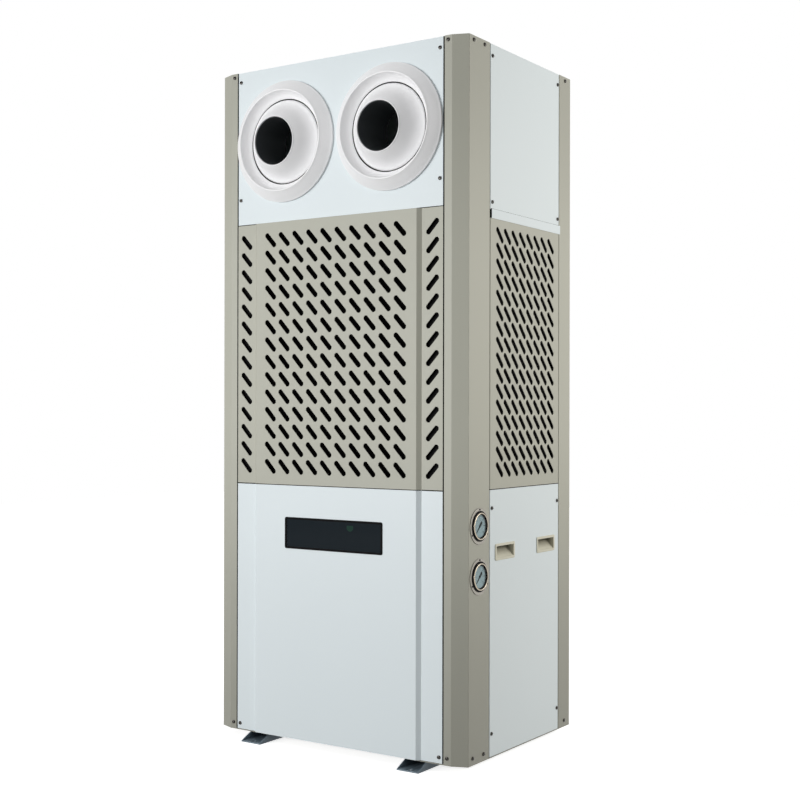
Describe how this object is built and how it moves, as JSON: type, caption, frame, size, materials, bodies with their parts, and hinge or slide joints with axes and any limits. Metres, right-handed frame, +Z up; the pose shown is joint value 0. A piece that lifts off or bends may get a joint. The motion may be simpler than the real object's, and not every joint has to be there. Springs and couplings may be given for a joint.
{
  "type": "floor-standing air conditioner",
  "caption": "Tall cabinet air conditioner with beveled corner posts, slotted intake grilles, swivelling ball jet outlets, display window, pressure gauges and floor runners.",
  "frame": {"origin": "on the floor, in the plane of the runners' undersides, at the centre of the floor anchor holes", "axes": "+Z up, +Y from the front with the jets to the back, +X to the side with the gauges"},
  "size_m": [0.793, 0.646, 1.8],
  "materials": {
    "white_paint": "satin",
    "greige_paint": "satin",
    "runner_steel": "satin",
    "white_plastic": "satin",
    "black_plastic": "matte",
    "smoked_lens": "gloss",
    "gauge_steel": "brushed",
    "dial_face": "matte",
    "gauge_glass": "clear",
    "handle_plastic": "satin",
    "filter_mesh": "matte"
  },
  "bodies": {
    "cabinet": {"back_lower_panel": "white_paint", "back_middle_panel": "greige_paint", "back_upper_panel": "white_paint", "base_tray": "greige_paint", "display_frame": "black_plastic", "display_lens": "smoked_lens", "front_filter": "filter_mesh", "front_grille": "greige_paint", "front_left_post": "greige_paint", "front_lower_panel": "white_paint", "front_right_post": "greige_paint", "front_upper_panel": "white_paint", "left_filter": "filter_mesh", "left_front_handle": "handle_plastic", "left_grille": "greige_paint", "left_lower_panel": "white_paint", "left_nozzle_housing": "white_plastic", "left_rear_handle": "handle_plastic", "left_runner": "runner_steel", "left_upper_panel": "white_paint", "lower_gauge_case": "gauge_steel", "lower_gauge_dial": "dial_face", "lower_gauge_glass": "gauge_glass", "rear_left_post": "greige_paint", "rear_right_post": "greige_paint", "right_filter": "filter_mesh", "right_front_handle": "handle_plastic", "right_grille": "greige_paint", "right_lower_panel": "white_paint", "right_nozzle_housing": "white_plastic", "right_rear_handle": "handle_plastic", "right_runner": "runner_steel", "right_upper_panel": "white_paint", "roof_cover": "greige_paint", "upper_gauge_case": "gauge_steel", "upper_gauge_dial": "dial_face", "upper_gauge_glass": "gauge_glass"},
    "left_jet": {"left_nozzle_ball": "white_plastic", "left_nozzle_sleeve": "black_plastic"},
    "right_jet": {"right_nozzle_ball": "white_plastic", "right_nozzle_sleeve": "black_plastic"},
    "upper_needle": {"upper_gauge_needle": "black_plastic"},
    "lower_needle": {"lower_gauge_needle": "black_plastic"}
  },
  "joints": [
    {"name": "left_jet_tilt", "type": "hinge", "parent": "cabinet", "child": "left_jet", "pos_m": [-0.166, -0.226, 1.595], "axis": [1, 0, 0], "range_deg": [-28, 22]},
    {"name": "right_jet_tilt", "type": "hinge", "parent": "cabinet", "child": "right_jet", "pos_m": [0.166, -0.226, 1.595], "axis": [1, 0, 0], "range_deg": [-28, 22]},
    {"name": "upper_needle_turn", "type": "hinge", "parent": "cabinet", "child": "upper_needle", "pos_m": [0.392, -0.212, 0.601], "axis": [-1, 0, 0], "range_deg": [0, 270], "stiffness_Nm_per_rad": 0.0001},
    {"name": "lower_needle_turn", "type": "hinge", "parent": "cabinet", "child": "lower_needle", "pos_m": [0.392, -0.212, 0.477], "axis": [-1, 0, 0], "range_deg": [0, 270], "stiffness_Nm_per_rad": 0.0001}
  ]
}
